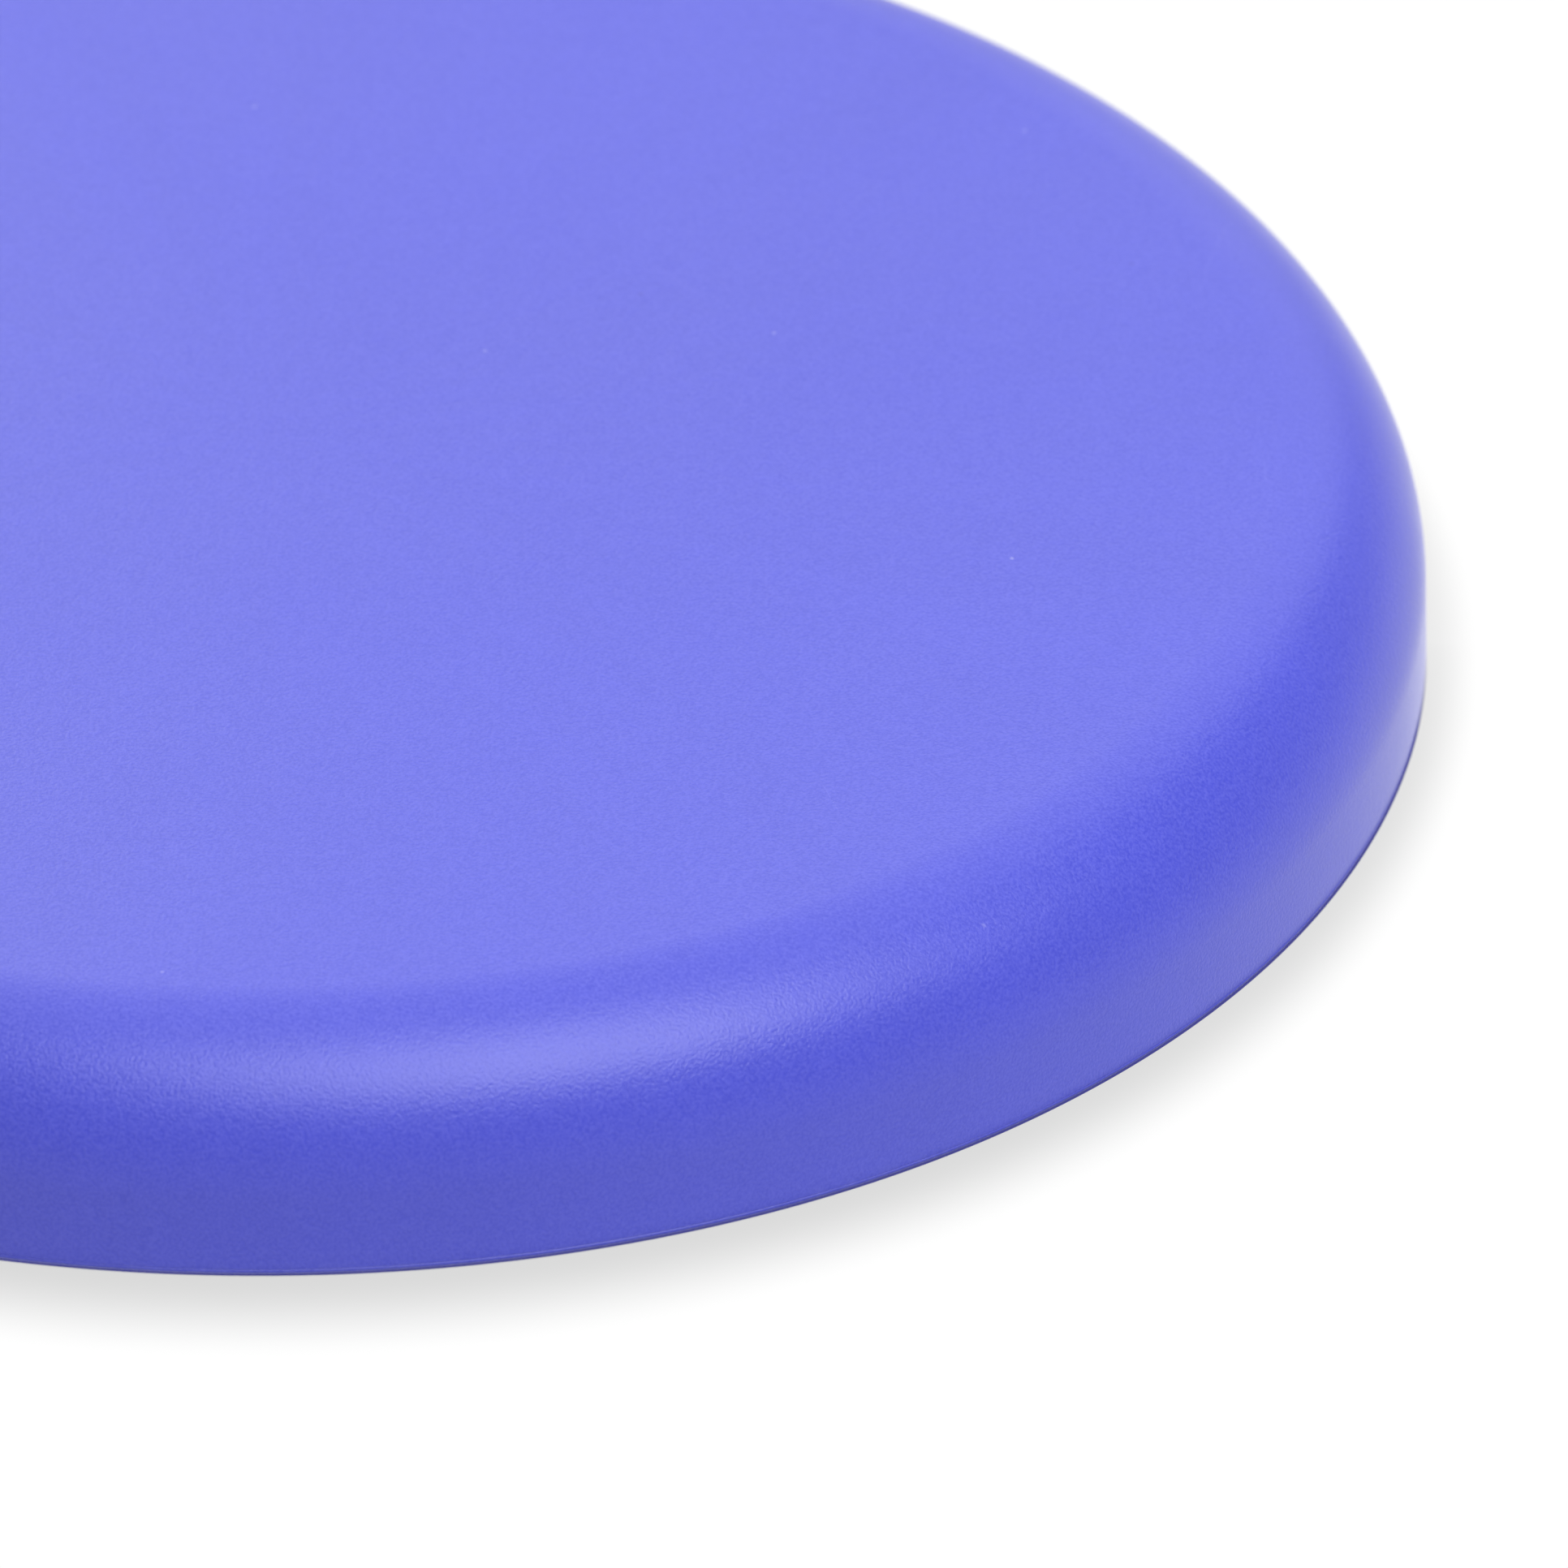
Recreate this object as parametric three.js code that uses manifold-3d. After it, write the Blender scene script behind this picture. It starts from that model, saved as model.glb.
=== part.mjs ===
// A throwing disc moulded in one piece: a flat plate, a quarter-round shoulder and a short skirt, open underneath.
// Millimetres, +Z up, with the origin at the centre of the plane that the rim's foot rests on.
import * as THREE from "three";
import { mergeVertices } from "three/addons/utils/BufferGeometryUtils.js";
import Module from "manifold-3d";

// Driving dimensions
const DIAMETER = 220; // across the skirt's outer face, carried down to the foot plane
const HEIGHT = 22; // from the foot to the plate's upper face
const SHOULDER_RADIUS = 14.5; // outer round between the plate and the skirt
const PLATE_THICKNESS = 1.5;
const LIP_THICKNESS = 3; // between the skirt's two faces, carried down to the foot plane
const FOOT_OUTER_RADIUS = 0.5; // round under the rim's outer edge
const FOOT_INNER_RADIUS = 0.5; // round under the rim's inner edge
const INNER_ROUND_RADIUS = 11.5; // round between the skirt and the plate's underside
const DRAFT = THREE.MathUtils.degToRad(1.5); // both skirt faces lean this much towards the axis as they rise

// Witness marks on the plate's underside
const GATE_PAD_DIAMETER = 14; // raised pad where the plastic enters the mould
const GATE_PAD_HEIGHT = 0.5;
const GATE_NUB_DIAMETER = 3; // cut-off sprue that stands on the pad
const GATE_NUB_HEIGHT = 0.6;
const EJECTOR_COUNT = 6;
const EJECTOR_DIAMETER = 8;
const EJECTOR_DEPTH = 0.3;
const EJECTOR_CIRCLE_RADIUS = 82; // the marks' centres lie on this circle

// Fineness of the mesh
const TURN_SEGMENTS = 120;
const SHOULDER_STEPS = 12;
const FOOT_STEPS = 4;
const MARK_SEGMENTS = 32;

const RIM_RADIUS = DIAMETER / 2;
const UNDERSIDE = HEIGHT - PLATE_THICKNESS;
const QUARTER_TURN = Math.PI / 2;

const discPlastic = new THREE.MeshStandardMaterial({ color: 0x3a3faf, roughness: 0.38, metalness: 0 });

// Radius of a skirt face at height z, given its radius at the foot plane.
const skirtFace = (radiusAtFoot, z) => radiusAtFoot - z * Math.tan(DRAFT);

// Points of a round in the half section, from one angle to another.
function round(centreR, centreZ, radius, from, to, steps) {
  return new THREE.ArcCurve(centreR, centreZ, radius, from, to, to < from).getPoints(steps);
}

// The half section: over the top, round the rim and back to the axis underneath.
function discSection() {
  const innerFace = RIM_RADIUS - LIP_THICKNESS;
  const slant = Math.cos(DRAFT);

  const shoulderZ = HEIGHT - SHOULDER_RADIUS;
  const shoulderR = skirtFace(RIM_RADIUS, shoulderZ) - SHOULDER_RADIUS / slant;
  const footOuterR = skirtFace(RIM_RADIUS, FOOT_OUTER_RADIUS) - FOOT_OUTER_RADIUS / slant;
  const footInnerR = skirtFace(innerFace, FOOT_INNER_RADIUS) + FOOT_INNER_RADIUS / slant;
  const innerRoundZ = UNDERSIDE - INNER_ROUND_RADIUS;
  const innerRoundR = skirtFace(innerFace, innerRoundZ) - INNER_ROUND_RADIUS / slant;

  const padR = GATE_PAD_DIAMETER / 2;
  const padZ = UNDERSIDE - GATE_PAD_HEIGHT;
  const nubR = GATE_NUB_DIAMETER / 2;
  const nubZ = padZ - GATE_NUB_HEIGHT;

  return [
    new THREE.Vector2(0, HEIGHT),
    ...round(shoulderR, shoulderZ, SHOULDER_RADIUS, QUARTER_TURN, DRAFT, SHOULDER_STEPS),
    ...round(footOuterR, FOOT_OUTER_RADIUS, FOOT_OUTER_RADIUS, DRAFT, -QUARTER_TURN, FOOT_STEPS),
    ...round(footInnerR, FOOT_INNER_RADIUS, FOOT_INNER_RADIUS, -QUARTER_TURN, DRAFT - Math.PI, FOOT_STEPS),
    ...round(innerRoundR, innerRoundZ, INNER_ROUND_RADIUS, DRAFT, QUARTER_TURN, SHOULDER_STEPS),
    new THREE.Vector2(padR, UNDERSIDE),
    new THREE.Vector2(padR, padZ),
    new THREE.Vector2(nubR, padZ),
    new THREE.Vector2(nubR, nubZ),
    new THREE.Vector2(0, nubZ),
  ];
}

// LatheGeometry turns its profile about Y and wants it from the bottom up, so the section is reversed and stood on Z.
const discBlank = new THREE.LatheGeometry(discSection().reverse(), TURN_SEGMENTS).rotateX(QUARTER_TURN);

// The pins that press the ejector marks into the plate's underside.
function ejectorPins() {
  const reach = 1; // how far a pin stands below the underside, so that its cut is clean
  const length = reach + EJECTOR_DEPTH;
  return Array.from({ length: EJECTOR_COUNT }, (_, i) => {
    const turn = (i / EJECTOR_COUNT) * 2 * Math.PI;
    const x = EJECTOR_CIRCLE_RADIUS * Math.cos(turn);
    const y = EJECTOR_CIRCLE_RADIUS * Math.sin(turn);
    return new THREE.CylinderGeometry(EJECTOR_DIAMETER / 2, EJECTOR_DIAMETER / 2, length, MARK_SEGMENTS)
      .rotateX(QUARTER_TURN)
      .translate(x, y, UNDERSIDE - reach + length / 2);
  });
}

const wasm = await Module();
wasm.setup();

function toSolid(geometry) {
  const bare = geometry.clone();
  bare.deleteAttribute("normal");
  bare.deleteAttribute("uv");
  const merged = mergeVertices(bare);
  const vertProperties = merged.attributes.position.array;
  const triVerts = new Uint32Array(merged.index.array);
  return new wasm.Manifold(new wasm.Mesh({ numProp: 3, vertProperties, triVerts }));
}

function toGeometry(solid) {
  const mesh = solid.getMesh();
  const geometry = new THREE.BufferGeometry();
  geometry.setAttribute("position", new THREE.BufferAttribute(mesh.vertProperties, 3));
  geometry.setIndex(new THREE.BufferAttribute(mesh.triVerts, 1));
  geometry.computeVertexNormals();
  return geometry;
}

const markedDisc = ejectorPins().reduce((solid, pin) => solid.subtract(toSolid(pin)), toSolid(discBlank));

const discBody = new THREE.Mesh(toGeometry(markedDisc), discPlastic);
discBody.name = "disc_body";

const part = new THREE.Group();
part.add(discBody);

export default part;
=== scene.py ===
"""A one-piece moulded throwing disc, lying on a pale studio floor.

Everything is in metres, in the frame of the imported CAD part: +Z up, with the origin at the centre of the
plane that the rim rests on.
"""

import math

import bmesh
import bpy
from mathutils import Matrix, Vector


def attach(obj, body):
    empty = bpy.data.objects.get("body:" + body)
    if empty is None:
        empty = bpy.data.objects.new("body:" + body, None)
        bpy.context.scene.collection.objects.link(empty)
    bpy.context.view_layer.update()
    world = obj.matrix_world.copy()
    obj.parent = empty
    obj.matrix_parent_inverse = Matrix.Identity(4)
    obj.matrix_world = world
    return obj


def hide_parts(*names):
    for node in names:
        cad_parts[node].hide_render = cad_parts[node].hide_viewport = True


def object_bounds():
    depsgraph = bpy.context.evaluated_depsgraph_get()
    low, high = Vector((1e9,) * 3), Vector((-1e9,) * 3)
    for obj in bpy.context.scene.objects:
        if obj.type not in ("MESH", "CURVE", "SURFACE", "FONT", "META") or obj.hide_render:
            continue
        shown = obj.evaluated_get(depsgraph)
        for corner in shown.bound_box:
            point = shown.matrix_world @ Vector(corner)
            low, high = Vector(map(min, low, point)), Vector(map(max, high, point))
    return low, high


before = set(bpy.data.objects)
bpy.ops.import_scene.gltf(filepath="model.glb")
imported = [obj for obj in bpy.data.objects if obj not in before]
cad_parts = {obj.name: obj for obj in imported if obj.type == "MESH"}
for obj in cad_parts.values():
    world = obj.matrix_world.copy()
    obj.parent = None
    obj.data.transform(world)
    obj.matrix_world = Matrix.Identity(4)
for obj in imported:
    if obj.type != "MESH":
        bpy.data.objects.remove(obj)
cad_low, cad_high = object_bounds()

MM = 0.001

# ---------------------------------------------------------------- the disc's sizes

HEIGHT = cad_high.z
SHOULDER_RADIUS = 14.5 * MM  # outer round between the plate and the skirt
PLATE_THICKNESS = 1.5 * MM
LIP_THICKNESS = 3.0 * MM  # between the skirt's two faces, at the foot plane
FOOT_OUTER_RADIUS = 0.5 * MM  # round under the rim's outer edge
FOOT_INNER_RADIUS = 0.5 * MM  # round under the rim's inner edge
INNER_ROUND_RADIUS = 11.5 * MM  # round between the skirt and the plate's underside
DRAFT = math.radians(1.5)  # both skirt faces lean this much towards the axis as they rise

# The rim is widest where its foot round begins, and the skirt's face runs on from there to the foot plane.
RIM_RADIUS = cad_high.x + FOOT_OUTER_RADIUS * math.tan(DRAFT)
UNDERSIDE = HEIGHT - PLATE_THICKNESS

# A shallow witness groove where the two halves of the mould met, just above the foot's round
WITNESS_WIDTH = 0.14 * MM
WITNESS_DEPTH = 0.05 * MM
WITNESS_HEIGHT = FOOT_OUTER_RADIUS + WITNESS_WIDTH  # its middle

# The gate pad under the middle of the plate, with the stub of the sprue standing on it
PAD_RADIUS = 7.0 * MM
PAD_HEIGHT = 0.5 * MM
PAD_ROUND = 0.3 * MM  # where it meets the plate
PAD_EDGE_ROUND = PAD_ROUND / 2
NUB_RADIUS = 1.5 * MM
NUB_HEIGHT = 0.6 * MM
NUB_ROUND = 0.2 * MM

# Ejector marks, pressed into the underside
EJECTOR_COUNT = 6
EJECTOR_RADIUS = 4.0 * MM
EJECTOR_DEPTH = 0.3 * MM
EJECTOR_ROUND = 0.15 * MM
EJECTOR_CIRCLE = 82.0 * MM  # radius of the circle that the marks' middles lie on
PIN_REACH = 1.0 * MM  # how far the pins that cut the marks stand below the underside

# Fineness of the mesh
TURN_SEGMENTS = 360
PIN_SEGMENTS = 48
PLATE_RINGS = 12
SHOULDER_STEPS = 40
OUTER_FOOT_STEPS = 12
INNER_FOOT_STEPS = 8
INNER_ROUND_STEPS = 28
UNDERSIDE_RINGS = 8
SMALL_ROUND_STEPS = 4
NUB_STEPS = 3
SHARP_ANGLE = math.radians(35)  # edges that turn more than this are shaded as sharp

QUARTER = math.pi / 2


# ---------------------------------------------------------------- the disc's mesh


def arc(centre_r, centre_z, radius, start, end, steps):
    """Points of a round in the half section, from one angle to another."""
    points = []
    for i in range(steps + 1):
        angle = start + (end - start) * i / steps
        points.append((centre_r + radius * math.cos(angle), centre_z + radius * math.sin(angle)))
    return points


def skirt_face(radius_at_foot, z):
    """Radius of a leaning skirt face at height z."""
    return radius_at_foot - z * math.tan(DRAFT)


def line(start, end, steps):
    """Points from start towards end, without the end itself."""
    return [
        (start[0] + (end[0] - start[0]) * i / steps, start[1] + (end[1] - start[1]) * i / steps)
        for i in range(steps)
    ]


def witness_groove():
    """The groove's points on the skirt's outer face, from the top down: two slopes and a narrow floor."""
    points = []
    for height_share, depth_share in ((1, 0), (0.3, 1), (-0.3, 1), (-1, 0)):
        z = WITNESS_HEIGHT + height_share * WITNESS_WIDTH / 2
        points.append((skirt_face(RIM_RADIUS, z) - depth_share * WITNESS_DEPTH, z))
    return points


def disc_section():
    """The closed half section: over the top, round the rim and back to the axis underneath."""
    slant = math.cos(DRAFT)
    half_turn = 2 * QUARTER
    inner_face = RIM_RADIUS - LIP_THICKNESS

    shoulder_z = HEIGHT - SHOULDER_RADIUS
    shoulder_r = skirt_face(RIM_RADIUS, shoulder_z) - SHOULDER_RADIUS / slant
    foot_outer_r = skirt_face(RIM_RADIUS, FOOT_OUTER_RADIUS) - FOOT_OUTER_RADIUS / slant
    foot_inner_r = skirt_face(inner_face, FOOT_INNER_RADIUS) + FOOT_INNER_RADIUS / slant
    inner_round_z = UNDERSIDE - INNER_ROUND_RADIUS
    inner_round_r = skirt_face(inner_face, inner_round_z) - INNER_ROUND_RADIUS / slant

    pad_z = UNDERSIDE - PAD_HEIGHT
    nub_z = pad_z - NUB_HEIGHT

    pad_foot_r = PAD_RADIUS + PAD_ROUND
    pad_edge_r = PAD_RADIUS - PAD_EDGE_ROUND

    section = line((0, HEIGHT), (shoulder_r, HEIGHT), PLATE_RINGS)
    section += arc(shoulder_r, shoulder_z, SHOULDER_RADIUS, QUARTER, DRAFT, SHOULDER_STEPS)
    section += witness_groove()
    section += arc(foot_outer_r, FOOT_OUTER_RADIUS, FOOT_OUTER_RADIUS, DRAFT, -QUARTER, OUTER_FOOT_STEPS)
    section += arc(
        foot_inner_r, FOOT_INNER_RADIUS, FOOT_INNER_RADIUS, -QUARTER, DRAFT - half_turn, INNER_FOOT_STEPS
    )
    section += arc(inner_round_r, inner_round_z, INNER_ROUND_RADIUS, DRAFT, QUARTER, INNER_ROUND_STEPS)
    section += line((inner_round_r, UNDERSIDE), (pad_foot_r, UNDERSIDE), UNDERSIDE_RINGS)[1:]
    section += arc(pad_foot_r, UNDERSIDE - PAD_ROUND, PAD_ROUND, QUARTER, half_turn, SMALL_ROUND_STEPS)
    section += arc(pad_edge_r, pad_z + PAD_EDGE_ROUND, PAD_EDGE_ROUND, 0, -QUARTER, SMALL_ROUND_STEPS)
    section += arc(NUB_RADIUS + NUB_ROUND, pad_z - NUB_ROUND, NUB_ROUND, QUARTER, half_turn, NUB_STEPS)
    section += arc(NUB_RADIUS - NUB_ROUND, nub_z + NUB_ROUND, NUB_ROUND, 0, -QUARTER, NUB_STEPS)
    section.append((0, nub_z))
    return section


def turned_mesh(name, section, segments):
    """A closed mesh from a half section that starts and ends on the axis, turned about Z."""
    turns = [2 * math.pi * i / segments for i in range(segments)]
    body = bmesh.new()
    rings = []
    for r, z in section:
        if r == 0:
            rings.append([body.verts.new((0, 0, z))])
        else:
            rings.append([body.verts.new((r * math.cos(t), r * math.sin(t), z)) for t in turns])
    for upper, lower in zip(rings, rings[1:]):
        for i in range(segments):
            k = (i + 1) % segments
            this_side = [upper[i % len(upper)], lower[i % len(lower)]]
            next_side = [lower[k % len(lower)], upper[k % len(upper)]]
            # a ring that is a single point gives a triangle
            body.faces.new(list(dict.fromkeys(this_side + next_side)))
    bmesh.ops.recalc_face_normals(body, faces=body.faces)
    mesh = bpy.data.meshes.new(name)
    body.to_mesh(mesh)
    body.free()
    return mesh


def ejector_pins():
    """One object that holds the pins that press the marks, each flared at the neck to round its mark."""
    top = UNDERSIDE + EJECTOR_DEPTH
    bottom = UNDERSIDE - PIN_REACH
    flare_r = EJECTOR_RADIUS + EJECTOR_ROUND
    flare_z = UNDERSIDE + EJECTOR_ROUND
    section = [(0, top), (EJECTOR_RADIUS, top)]
    section += arc(flare_r, flare_z, EJECTOR_ROUND, 2 * QUARTER, 3 * QUARTER, SMALL_ROUND_STEPS)
    section += [(flare_r, bottom), (0, bottom)]
    pin = turned_mesh("ejector_pin", section, PIN_SEGMENTS)

    pins = bmesh.new()
    for i in range(EJECTOR_COUNT):
        turn = 2 * math.pi * i / EJECTOR_COUNT
        placed = pin.copy()
        placed.transform(Matrix.Rotation(turn, 4, "Z") @ Matrix.Translation((EJECTOR_CIRCLE, 0, 0)))
        pins.from_mesh(placed)
    mesh = bpy.data.meshes.new("ejector_pins")
    pins.to_mesh(mesh)
    pins.free()
    return bpy.data.objects.new("ejector_pins", mesh)


def build_disc():
    """The turned disc with its ejector marks cut in, as one mesh with its modifiers applied."""
    blank = bpy.data.objects.new("disc_blank", turned_mesh("disc_blank", disc_section(), TURN_SEGMENTS))
    pins = ejector_pins()
    for helper in (blank, pins):
        bpy.context.scene.collection.objects.link(helper)
    cut = blank.modifiers.new("ejector_marks", "BOOLEAN")
    cut.operation = "DIFFERENCE"
    cut.solver = "EXACT"
    cut.object = pins
    mesh = bpy.data.meshes.new_from_object(blank.evaluated_get(bpy.context.evaluated_depsgraph_get()))
    mesh.name = "flying_disc"
    for helper in (blank, pins):
        bpy.data.objects.remove(helper)

    mesh.shade_smooth()
    mesh.set_sharp_from_angle(angle=SHARP_ANGLE)
    disc = bpy.data.objects.new("flying_disc", mesh)
    bpy.context.scene.collection.objects.link(disc)
    return disc


# ---------------------------------------------------------------- shader helpers

NOISE_LOW, NOISE_MIDDLE, NOISE_HIGH = 0.3, 0.5, 0.7  # nearly all of a noise texture lies in this range


class Shader:
    """A thin wrapper that adds a node, sets its inputs and links them in one call."""

    def __init__(self, tree):
        self.tree = tree
        tree.nodes.clear()

    def node(self, kind, settings=None, **inputs):
        made = self.tree.nodes.new(kind)
        for key, value in (settings or {}).items():
            setattr(made, key, value)
        for key, value in inputs.items():
            self.feed(made.inputs[key.replace("_", " ")], value)
        return made

    def feed(self, socket, value):
        if isinstance(value, bpy.types.NodeSocket):
            self.tree.links.new(value, socket)
        elif value is not None:
            socket.default_value = value

    def maths(self, operation, a, b=None):
        made = self.tree.nodes.new("ShaderNodeMath")
        made.operation = operation
        self.feed(made.inputs[0], a)
        self.feed(made.inputs[1], b)
        return made.outputs[0]

    def vector(self, operation, *values, scale=None):
        made = self.tree.nodes.new("ShaderNodeVectorMath")
        made.operation = operation
        for socket, value in zip(made.inputs, values):
            self.feed(socket, value)
        if scale is not None:
            self.feed(made.inputs["Scale"], scale)
        return made.outputs["Vector"]

    def remap(self, value, low, high, to_low=0.0, to_high=1.0, smooth=False):
        """The value carried from one range to another, and held at the new range's ends beyond them."""
        made = self.tree.nodes.new("ShaderNodeMapRange")
        made.interpolation_type = "SMOOTHSTEP" if smooth else "LINEAR"
        ranges = {"Value": value, "From Min": low, "From Max": high, "To Min": to_low, "To Max": to_high}
        for name, number in ranges.items():
            self.feed(made.inputs[name], number)
        return made.outputs["Result"]

    def mix(self, share, a, b):
        made = self.tree.nodes.new("ShaderNodeMix")
        made.data_type = "RGBA"
        self.feed(made.inputs["Factor"], share)
        self.feed(made.inputs["A"], a)
        self.feed(made.inputs["B"], b)
        return made.outputs["Result"]

    def noise(self, where, size, detail=2.0):
        """Noise whose features are about size metres across."""
        made = self.node("ShaderNodeTexNoise", Vector=where, Scale=1 / size, Detail=detail, Roughness=0.5)
        return made.outputs["Fac"]

    def swing(self, noise, amount):
        """Noise made into a change of up to amount either way."""
        return self.remap(noise, NOISE_LOW, NOISE_HIGH, -amount, amount)

    def from_axis(self, x, y):
        """Distance from the disc's axis."""
        squares = self.maths("ADD", self.maths("MULTIPLY", x, x), self.maths("MULTIPLY", y, y))
        return self.maths("SQRT", squares)


# ---------------------------------------------------------------- the plastic

BASE_BLUE = (0.042, 0.050, 0.43)
BASE_ROUGHNESS = 0.36
REFRACTIVE_INDEX = 1.52
HAZE = 0.4  # how much the fine grain pales the surface where it is seen edge on
HAZE_SPREAD = 0.17

# Mould grain
GRAIN_SIZE = 0.3 * MM
GRAIN_HEIGHT = 0.05 * MM
GRAIN_PAINTED_SHADING = (0.014, 0.014, 0.026)  # painted light and shade on the grain: how much paler its tops are painted than its middle, as if they caught the light
GRAIN_ROUGHNESS = 0.03  # how much rougher its tops are than its middle
SKIRT_GRAIN_SHADING = 0.65  # the painted grain shading on the skirt as a share of that on the plate

# Slow changes of brightness, as a share of it
CLOUD_SIZE, CLOUD_STRENGTH = 70 * MM, 0.02
MOTTLE_SIZE, MOTTLE_STRENGTH = 1.6 * MM, 0.012
STREAK_STRENGTH = 0.012
STREAKS_PER_RADIAN = 10.0
STREAKS_PER_METRE = 18.0  # along a radius: each is much longer than it is wide

# Slow changes of the surface
HANDLING_SIZE, HANDLING_ROUGHNESS = 28 * MM, 0.02
WAVE_SIZE, WAVE_HEIGHT = 14 * MM, 0.02 * MM

# Specks and hairlines, each in some of the cells of a flat cell pattern. A cell draws a number from 0 to 1.
# Below the first of the two chances it holds nothing, and above the second a mark at full strength.
MARKS_END = 0.3 * SHOULDER_RADIUS  # how far below the plate's top they have faded out
SPECK_CHANCES = (0.70, 0.72)
SPECK_CORE = 0.5  # share of its radius that has its full colour
SPECK_RAGGEDNESS = 0.3  # how much its radius varies either way
PALE_SPECK_SPACING, PALE_SPECK_RADIUS, PALE_SPECK_STRENGTH = 24 * MM, 0.24 * MM, 0.3
DARK_SPECK_SPACING, DARK_SPECK_RADIUS, DARK_SPECK_STRENGTH = 41 * MM, 0.20 * MM, 0.8
PALE_SPECK = (0.45, 0.45, 0.65, 1)
DARK_SPECK = (0.02, 0.02, 0.25, 1)
HAIRLINE_CHANCES = (0.55, 0.85)
HAIRLINE_CORE = 0.4  # share of its half length that has its full strength
HAIRLINE_FADE = 0.07 * MM  # from its middle line to where it has faded out
HAIRLINE_BEND = 6.0  # the most that one leaves straight, over the square of the distance from its middle
HAIRLINE_BLUE = (0.25, 0.26, 0.7, 1)
HAIRLINE_STRENGTH, HAIRLINE_GLOSS = 0.12, 0.08
LONG_SPACING, LONG_HALF_LENGTH = 45 * MM, 9 * MM
SHORT_SPACING, SHORT_HALF_LENGTH = 19 * MM, 3.5 * MM

# Rubbing at the foot, which fades out upwards
SCUFF_FULL, SCUFF_END = 0.2 * MM, 1.6 * MM
SCUFF_SIZE = 2.5 * MM
SCUFF_BLUE = (0.12, 0.13, 0.5, 1)
SCUFF_STRENGTH, SCUFF_ROUGHNESS = 0.25, 0.12


def flat_cells(s, where, spacing):
    """The outputs of a flat pattern of cells that are about spacing apart."""
    flat = {"voronoi_dimensions": "2D"}
    return s.node("ShaderNodeTexVoronoi", flat, Vector=where, Scale=1 / spacing).outputs


def specks(s, where, spacing, radius):
    """Sparse ragged dots, 0 to 1, in the middles of some cells."""
    cells = flat_cells(s, where, spacing)
    chance = s.node("ShaderNodeSeparateColor", Color=cells["Color"]).outputs[0]
    edge = s.maths("ADD", s.swing(s.noise(where, radius), SPECK_RAGGEDNESS * radius), radius)
    from_middle = s.maths("DIVIDE", s.maths("MULTIPLY", cells["Distance"], spacing), edge)
    dot = s.remap(from_middle, SPECK_CORE, 1.0, 1.0, 0.0)
    return s.maths("MULTIPLY", dot, s.remap(chance, *SPECK_CHANCES))


def scratches(s, where, spacing, half_length):
    """Sparse hairlines, 0 to 1: a short, slightly bent line through the middles of some cells."""
    cells = flat_cells(s, where, spacing)
    chance, turn, bend = s.node("ShaderNodeSeparateColor", Color=cells["Color"]).outputs
    turned = s.node(
        "ShaderNodeVectorRotate",
        {"rotation_type": "Z_AXIS"},
        Vector=s.vector("SUBTRACT", where, cells["Position"]),
        Angle=s.maths("MULTIPLY", turn, 2 * math.pi),
    )
    along, across, _ = s.node("ShaderNodeSeparateXYZ", Vector=turned.outputs[0]).outputs
    bow = s.remap(bend, 0, 1, -HAIRLINE_BEND, HAIRLINE_BEND)
    bow = s.maths("MULTIPLY", s.maths("MULTIPLY", along, along), bow)
    off_line = s.maths("ABSOLUTE", s.maths("ADD", across, bow))
    thin = s.remap(off_line, 0, HAIRLINE_FADE, 1.0, 0.0)
    ends = s.remap(s.maths("ABSOLUTE", along), HAIRLINE_CORE * half_length, half_length, 1.0, 0.0)
    return s.maths("MULTIPLY", s.maths("MULTIPLY", thin, ends), s.remap(chance, *HAIRLINE_CHANCES))


def brightness(s, where, x, y):
    """A share of the base colour, about 1: clouds of pigment, streaks out from the gate, and mottling."""
    clouds = s.noise(where, CLOUD_SIZE, detail=1)
    outwards = s.vector("NORMALIZE", s.node("ShaderNodeCombineXYZ", X=x, Y=y).outputs[0])
    along = s.maths("MULTIPLY", s.from_axis(x, y), STREAKS_PER_METRE)
    around = s.vector("SCALE", outwards, scale=STREAKS_PER_RADIAN)
    streak_place = s.vector("ADD", around, s.node("ShaderNodeCombineXYZ", Z=along).outputs[0])
    streaks = s.noise(streak_place, 1.0)
    mottle = s.noise(where, MOTTLE_SIZE)
    tone = s.maths("ADD", s.swing(clouds, CLOUD_STRENGTH), s.swing(streaks, STREAK_STRENGTH))
    tone = s.maths("ADD", tone, s.swing(mottle, MOTTLE_STRENGTH))
    return s.maths("ADD", tone, 1.0)


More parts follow.
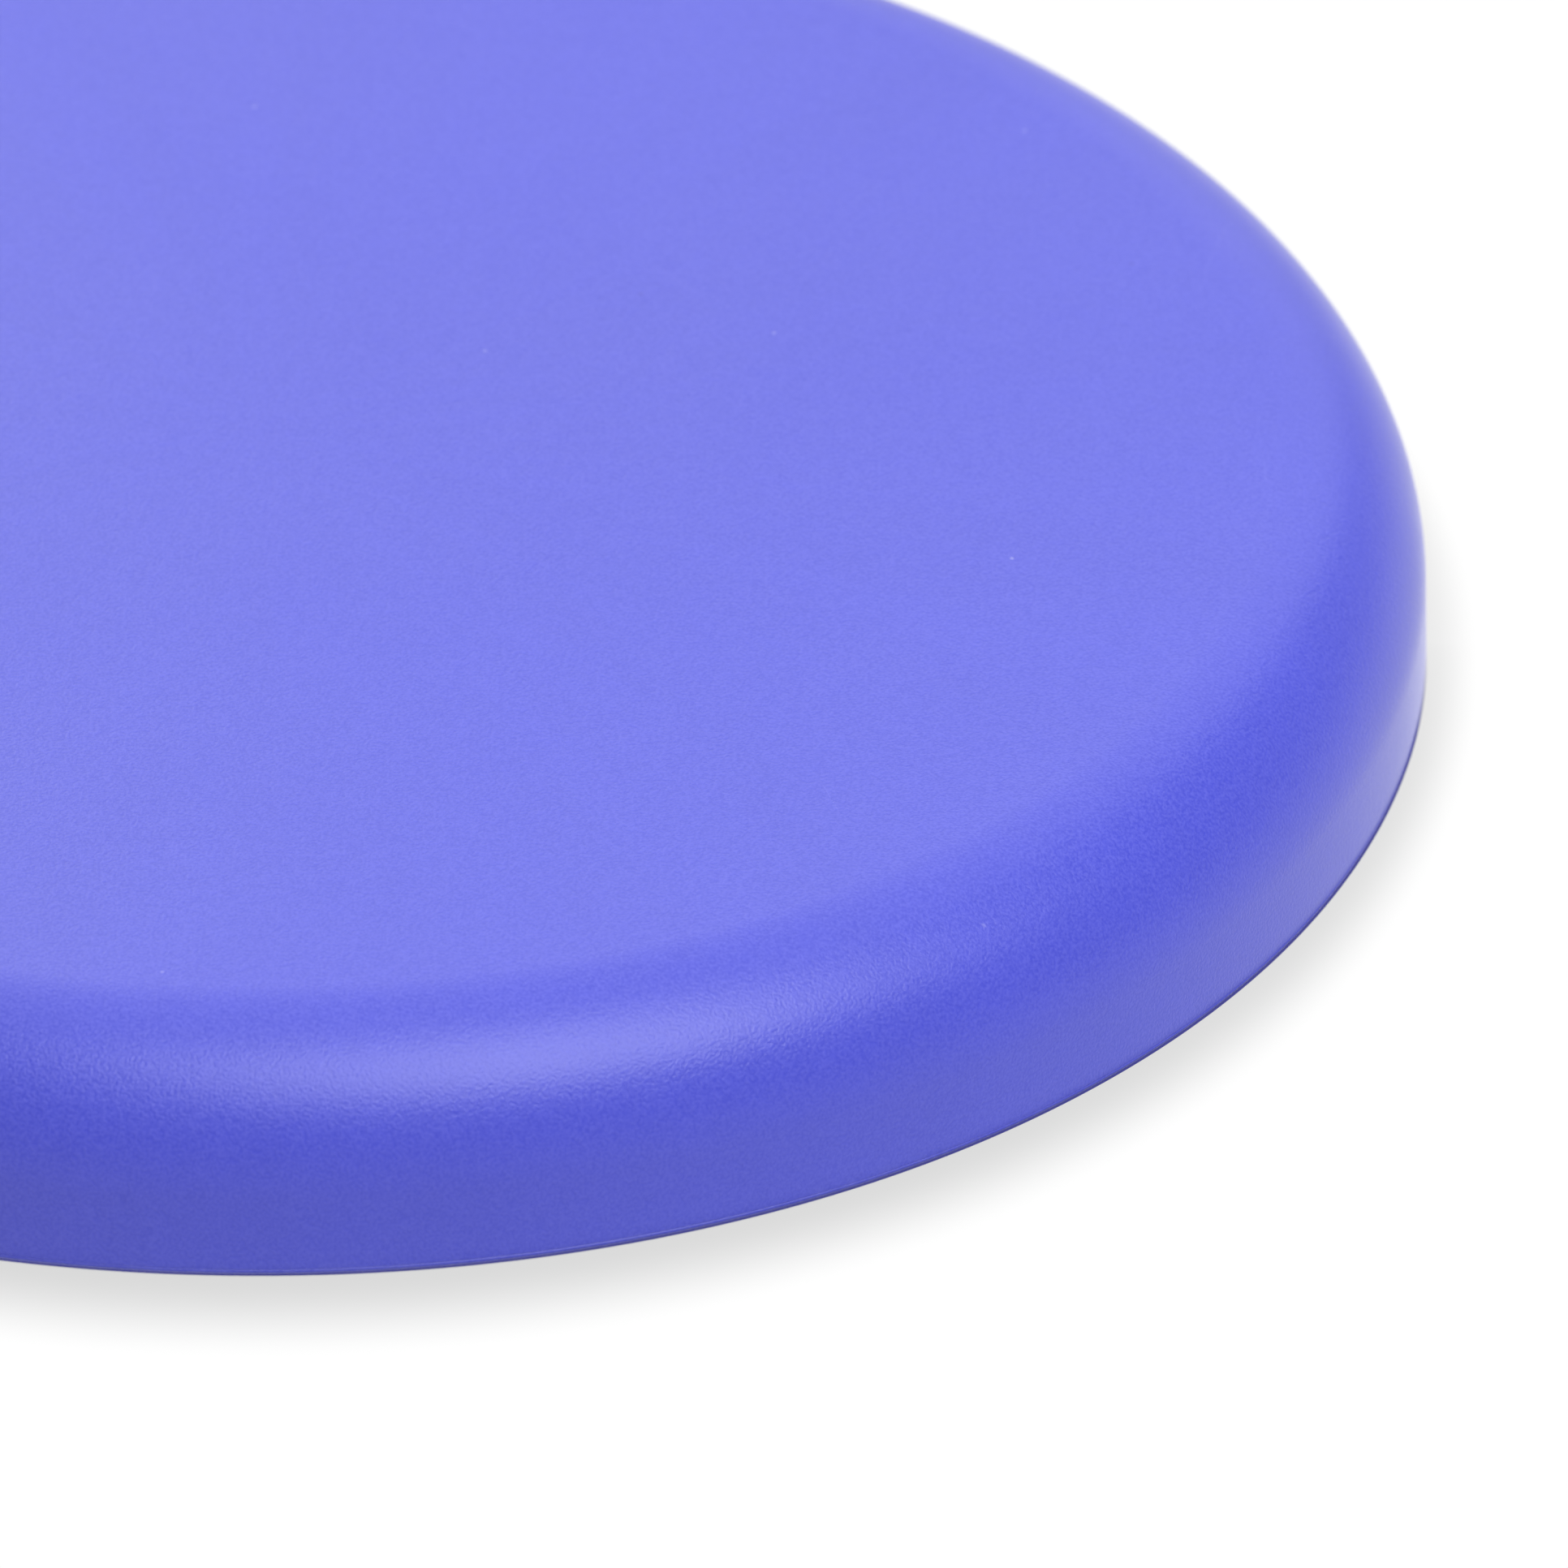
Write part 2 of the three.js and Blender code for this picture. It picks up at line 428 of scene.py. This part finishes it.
def plastic_material():
    """Through-coloured satin plastic with a fine mould grain, faint flow shading, specks and hairlines."""
    material = bpy.data.materials.new("disc_plastic")
    material.use_nodes = True
    s = Shader(material.node_tree)
    where = s.node("ShaderNodeTexCoord").outputs["Object"]
    x, y, z = s.node("ShaderNodeSeparateXYZ", Vector=where).outputs
    tinted = s.vector("SCALE", BASE_BLUE, scale=brightness(s, where, x, y))

    # painted light and shade: the pebbles of the mould grain are painted a touch paler on top than in the
    # valleys, as if they caught the light, and less so on the skirt
    pebbles = s.noise(where, GRAIN_SIZE, detail=1)
    grain_shading_share = s.remap(z, HEIGHT - SHOULDER_RADIUS, HEIGHT, SKIRT_GRAIN_SHADING, 1.0)
    grain_shading_swing = s.maths("MULTIPLY", s.swing(pebbles, 1), grain_shading_share)
    colour = s.vector("MULTIPLY_ADD", grain_shading_swing, GRAIN_PAINTED_SHADING, tinted)

    # a few tiny specks of dust and pigment and a few hairlines, on the plate only
    plate = s.remap(z, HEIGHT - MARKS_END, UNDERSIDE)
    pale = s.maths("MULTIPLY", specks(s, where, PALE_SPECK_SPACING, PALE_SPECK_RADIUS), plate)
    dark = s.maths("MULTIPLY", specks(s, where, DARK_SPECK_SPACING, DARK_SPECK_RADIUS), plate)
    long_lines = scratches(s, where, LONG_SPACING, LONG_HALF_LENGTH)
    short_lines = scratches(s, where, SHORT_SPACING, SHORT_HALF_LENGTH)
    hairlines = s.maths("MULTIPLY", s.maths("MAXIMUM", long_lines, short_lines), plate)
    colour = s.mix(s.maths("MULTIPLY", pale, PALE_SPECK_STRENGTH), colour, PALE_SPECK)
    colour = s.mix(s.maths("MULTIPLY", dark, DARK_SPECK_STRENGTH), colour, DARK_SPECK)
    colour = s.mix(s.maths("MULTIPLY", hairlines, HAIRLINE_STRENGTH), colour, HAIRLINE_BLUE)

    # the foot is rubbed where the disc has been set down
    foot = s.remap(z, SCUFF_FULL, SCUFF_END, 1.0, 0.0)
    patches = s.remap(s.noise(where, SCUFF_SIZE, detail=3), NOISE_MIDDLE, NOISE_HIGH)
    scuffs = s.maths("MULTIPLY", foot, patches)
    colour = s.mix(s.maths("MULTIPLY", scuffs, SCUFF_STRENGTH), colour, SCUFF_BLUE)

    # roughness: the grain breaks it up, handling varies it slowly
    roughness = s.maths("ADD", s.swing(pebbles, GRAIN_ROUGHNESS), BASE_ROUGHNESS)
    roughness = s.maths("ADD", roughness, s.swing(s.noise(where, HANDLING_SIZE), HANDLING_ROUGHNESS))
    roughness = s.maths("ADD", roughness, s.maths("MULTIPLY", scuffs, SCUFF_ROUGHNESS))
    roughness = s.maths("SUBTRACT", roughness, s.maths("MULTIPLY", hairlines, HAIRLINE_GLOSS))

    # bump: pebbled mould grain over a slower waviness of the tool's polish
    grain = s.node("ShaderNodeBump", Height=pebbles, Distance=GRAIN_HEIGHT, Strength=1.0).outputs[0]
    waves = s.noise(where, WAVE_SIZE, detail=1)
    surface = s.node("ShaderNodeBump", Height=waves, Distance=WAVE_HEIGHT, Strength=1.0, Normal=grain)

    plastic = s.node(
        "ShaderNodeBsdfPrincipled",
        Base_Color=colour,
        Roughness=roughness,
        IOR=REFRACTIVE_INDEX,
        Normal=surface.outputs[0],
        Sheen_Weight=HAZE,
        Sheen_Roughness=HAZE_SPREAD,
    )
    s.node("ShaderNodeOutputMaterial", Surface=plastic.outputs[0])
    return material


disc = build_disc()
disc.data.materials.clear()
disc.data.materials.append(plastic_material())
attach(disc, "root")
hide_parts("disc_body")


# ---------------------------------------------------------------- floor

WHITE = 1.01  # radiance of the background, just over what shows as white
FLOOR_HALF_WIDTH = 40.0  # so wide that its edge doesn't show

# A place round the disc is told by two shares from 0 to 1: rightward is 1 straight to the camera's right,
# and frontward is 1 straight to the front.

# What the disc sees of the overexposed floor, which glows: bright, with painted light that makes it
# brighter to the right, and most to the near right
FLOOR_RADIANCE = 1.04
RIGHT_PAINTED_LIGHT = 0.24  # painted light: how much brighter it is painted to the near right
FAR_RIGHT_SHARE = 0.4  # the share of that extra where frontward is 0
NEAR_RIGHT_START = 0.4  # the frontward from which all of it counts
GAP_REACH = 2.5 * MM  # painted shade: the floor darkens to whatever is closer to it than this
SIDE_GAP_SHADE, FRONT_GAP_SHADE = 0.95, 0.3

# What the camera sees of it: white, with a painted soft shadow that grows from the sides to the front
SIDE_REACH, FRONT_REACH = 5.5 * MM, 14.5 * MM
SIDE_SHADE, FRONT_SHADE = 0.17, 0.31
REACH_GROWTH, SHADE_GROWTH = 1.5, 0.5  # the powers of frontward that the reach and the shade grow with

# A painted contact shadow: the dark line of the gap under the foot's round, wider at the sides where more
# of it shows
SIDE_LINE, FRONT_LINE = 0.15 * MM, 0.01 * MM
FRONT_LINE_START = 0.7  # the frontward from which it is at its thinnest
LINE_START, LINE_FULL = 0.02, 0.15  # the frontward from which it shows, and from which it is fully dark
LINE_CORE = 0.7  # share of its width that has its full colour
CONTACT_SHADOW_BLUE = (0.09, 0.09, 0.38, 1)


def floor_material():
    """A pale floor that glows to just over white, with painted shade that darkens it softly towards the
    rim.
    """
    material = bpy.data.materials.new("studio_floor")
    material.use_nodes = True
    s = Shader(material.node_tree)
    x, y, _ = s.node("ShaderNodeSeparateXYZ", Vector=s.node("ShaderNodeTexCoord").outputs["Object"]).outputs
    radius = s.from_axis(x, y)
    beyond_rim = s.maths("SUBTRACT", radius, RIM_RADIUS)
    rightward = s.maths("MAXIMUM", s.maths("DIVIDE", x, radius), 0.0)
    frontward = s.maths("MAXIMUM", s.maths("DIVIDE", y, s.maths("MULTIPLY", radius, -1.0)), 0.0)

    reach = s.remap(s.maths("POWER", frontward, REACH_GROWTH), 0, 1, SIDE_REACH, FRONT_REACH)
    darkest = s.remap(s.maths("POWER", frontward, SHADE_GROWTH), 0, 1, 1 - SIDE_SHADE, 1 - FRONT_SHADE)
    shadow = s.remap(beyond_rim, 0, reach, darkest, 1.0, smooth=True)
    seen_by_camera = s.maths("MULTIPLY", shadow, WHITE)

    path = s.node("ShaderNodeLightPath").outputs
    # what the disc sees: painted shade in the gap under the rim, and a painted pool of light to the near
    # right
    gap_level = s.remap(rightward, 0, 1, 1 - FRONT_GAP_SHADE, 1 - SIDE_GAP_SHADE)
    gap = s.remap(path["Ray Length"], 0, GAP_REACH, gap_level, 1.0)
    extra_share = s.remap(frontward, 0, NEAR_RIGHT_START, FAR_RIGHT_SHARE, 1.0)
    near_right = s.maths("MULTIPLY", rightward, extra_share)
    bright = s.remap(near_right, 0, 1, FLOOR_RADIANCE, FLOOR_RADIANCE + RIGHT_PAINTED_LIGHT)
    seen_by_disc = s.maths("MULTIPLY", gap, bright)

    # the painted contact shadow along the foot, a dark blue line that only the camera sees
    width = s.remap(frontward, 0, FRONT_LINE_START, SIDE_LINE, FRONT_LINE)
    in_contact_shadow = s.remap(s.maths("DIVIDE", beyond_rim, width), LINE_CORE, 1.0, 1.0, 0.0)
    in_contact_shadow = s.maths("MULTIPLY", in_contact_shadow, s.remap(frontward, LINE_START, LINE_FULL))
    colour = s.mix(s.maths("MULTIPLY", in_contact_shadow, path["Is Camera Ray"]), (1, 1, 1, 1), CONTACT_SHADOW_BLUE)

    level = s.remap(path["Is Camera Ray"], 0, 1, seen_by_disc, seen_by_camera)
    glow = s.node("ShaderNodeEmission", Color=colour, Strength=level)
    s.node("ShaderNodeOutputMaterial", Surface=glow.outputs[0])
    return material


def build_floor():
    mesh = bpy.data.meshes.new("studio_floor")
    w = FLOOR_HALF_WIDTH
    corners = [(-w, -w, 0), (w, -w, 0), (w, w, 0), (-w, w, 0)]
    mesh.from_pydata(corners, [], [(0, 1, 2, 3)])
    mesh.materials.append(floor_material())
    floor = bpy.data.objects.new("studio_floor", mesh)
    bpy.context.scene.collection.objects.link(floor)
    return floor


build_floor()


# ---------------------------------------------------------------- light

ROOM_RADIANCE = 0.82


def build_world():
    """White to the camera, and a soft, even room for everything else."""
    world = bpy.data.worlds.new("studio_room")
    bpy.context.scene.world = world
    world.use_nodes = True
    s = Shader(world.node_tree)
    is_camera = s.node("ShaderNodeLightPath").outputs["Is Camera Ray"]
    level = s.remap(is_camera, 0, 1, ROOM_RADIANCE, WHITE)
    s.node("ShaderNodeOutputWorld", Surface=s.node("ShaderNodeBackground", Strength=level).outputs[0])


def softbox(name, azimuth, elevation, width, height, radiance, distance=1.0):
    """A rectangular light aimed at the disc. Azimuth 0 is behind it, and 90 is to the camera's right."""
    light = bpy.data.lights.new(name, "AREA")
    light.shape = "RECTANGLE"
    light.size, light.size_y = width, height
    # Cycles gives a rectangular light a radiance of its power over four times its area
    light.energy = radiance * 4 * width * height
    lamp = bpy.data.objects.new(name, light)
    bpy.context.scene.collection.objects.link(lamp)
    a, e = math.radians(azimuth), math.radians(elevation)
    towards = Vector((math.sin(a) * math.cos(e), math.cos(a) * math.cos(e), math.sin(e)))
    lamp.location = towards * distance
    lamp.rotation_euler = towards.to_track_quat("Z", "Y").to_euler()
    lamp.visible_camera = False


build_world()
softbox("key_softbox", azimuth=151, elevation=59, width=0.70, height=0.73, radiance=3.75)
softbox("side_softbox", azimuth=121, elevation=47, width=0.78, height=0.41, radiance=1.21)
softbox("back_panel", azimuth=0, elevation=52, width=1.35, height=1.75, radiance=0.81)
softbox("left_softbox", azimuth=-30, elevation=30, width=0.60, height=0.60, radiance=1.05, distance=0.9)


# ---------------------------------------------------------------- camera

CAMERA_ELEVATION = math.radians(32.6)
CAMERA_ROLL = math.radians(0.65)
CAMERA_DISTANCE = 20 * RIM_RADIUS
FRAME_WIDTH = 1.3116 * RIM_RADIUS  # how much of the scene the picture spans, at the aim point
AIM = Vector((0.449 * RIM_RADIUS, -0.550 * RIM_RADIUS, HEIGHT))  # what the picture is centred on
FOCUS = Vector((0.30 * RIM_RADIUS, -0.55 * RIM_RADIUS, HEIGHT))  # what is sharpest
APERTURE = 15 * MM  # width of the lens's opening
SENSOR_WIDTH = 36  # in millimetres, as the lens is


def build_camera():
    """A long lens that looks along +Y, close in on the rim's near right quarter, as in the photograph."""
    data = bpy.data.cameras.new("camera")
    data.sensor_width = SENSOR_WIDTH
    data.lens = SENSOR_WIDTH * CAMERA_DISTANCE / FRAME_WIDTH
    camera = bpy.data.objects.new("camera", data)
    bpy.context.scene.collection.objects.link(camera)
    back = Vector((0, -math.cos(CAMERA_ELEVATION), math.sin(CAMERA_ELEVATION)))
    roll = Matrix.Rotation(CAMERA_ROLL, 3, "Z").to_quaternion()
    camera.location = AIM + back * CAMERA_DISTANCE
    camera.rotation_mode = "QUATERNION"
    camera.rotation_quaternion = back.to_track_quat("Z", "Y") @ roll

    focus = bpy.data.objects.new("focus_point", None)
    focus.location = FOCUS
    bpy.context.scene.collection.objects.link(focus)
    data.dof.use_dof = True
    data.dof.focus_object = focus
    data.dof.aperture_fstop = data.lens * MM / APERTURE
    bpy.context.scene.camera = camera


build_camera()
bpy.context.scene.view_settings.view_transform = "Standard"
